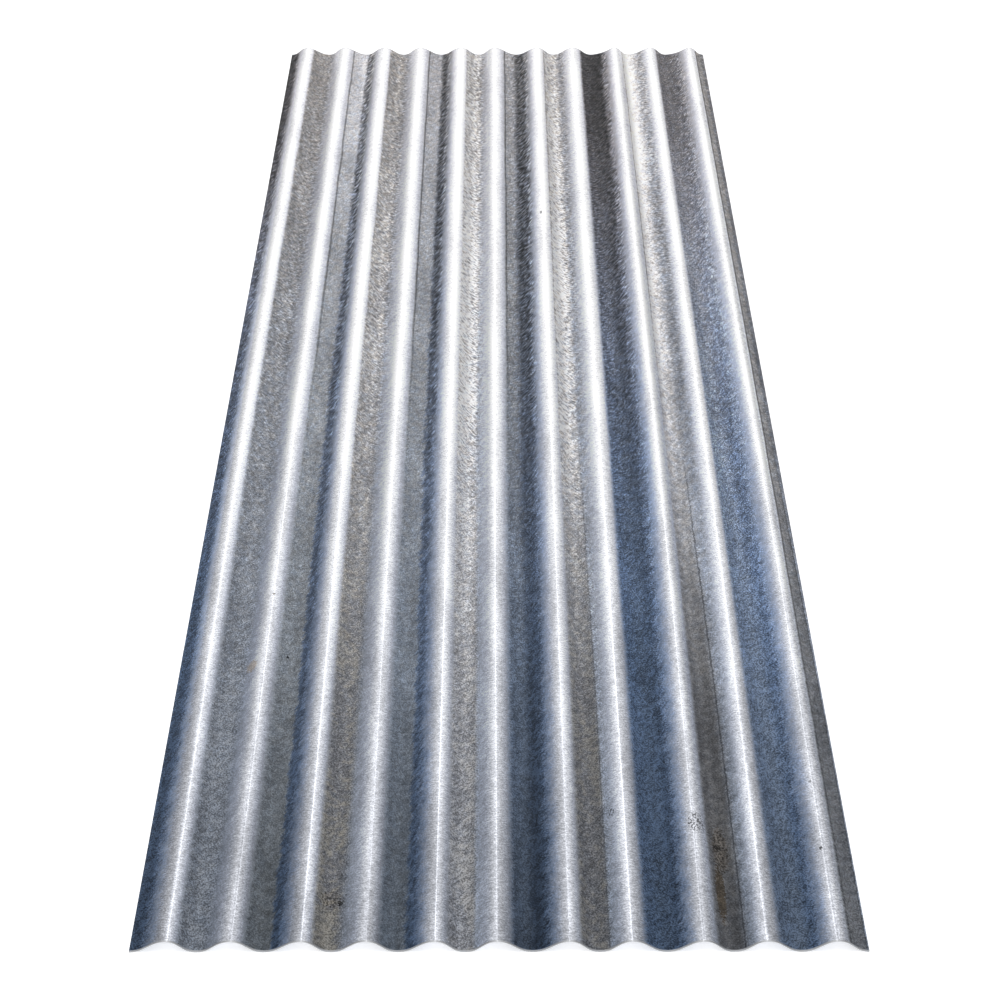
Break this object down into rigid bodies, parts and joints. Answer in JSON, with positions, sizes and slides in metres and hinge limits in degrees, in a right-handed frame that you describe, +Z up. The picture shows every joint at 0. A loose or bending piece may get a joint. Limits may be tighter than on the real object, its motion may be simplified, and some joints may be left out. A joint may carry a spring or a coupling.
{
  "type": "corrugated metal sheet",
  "caption": "Galvanised corrugated steel roofing sheet with rounded waves along its length and plain square-cut edges.",
  "frame": {"origin": "centre of the sheet's outline, on the plane that the valleys rest on", "axes": "+X across the waves, +Y along the sheet, +Z up out of the crests"},
  "size_m": [0.6984, 2.4384, 0.0127],
  "materials": {
    "zinc": "weathered galvanised zinc, satin with a fine spangle, brighter on the crests than in the valleys"
  },
  "bodies": {
    "root": {"corrugated_sheet": "zinc"}
  },
  "joints": []
}
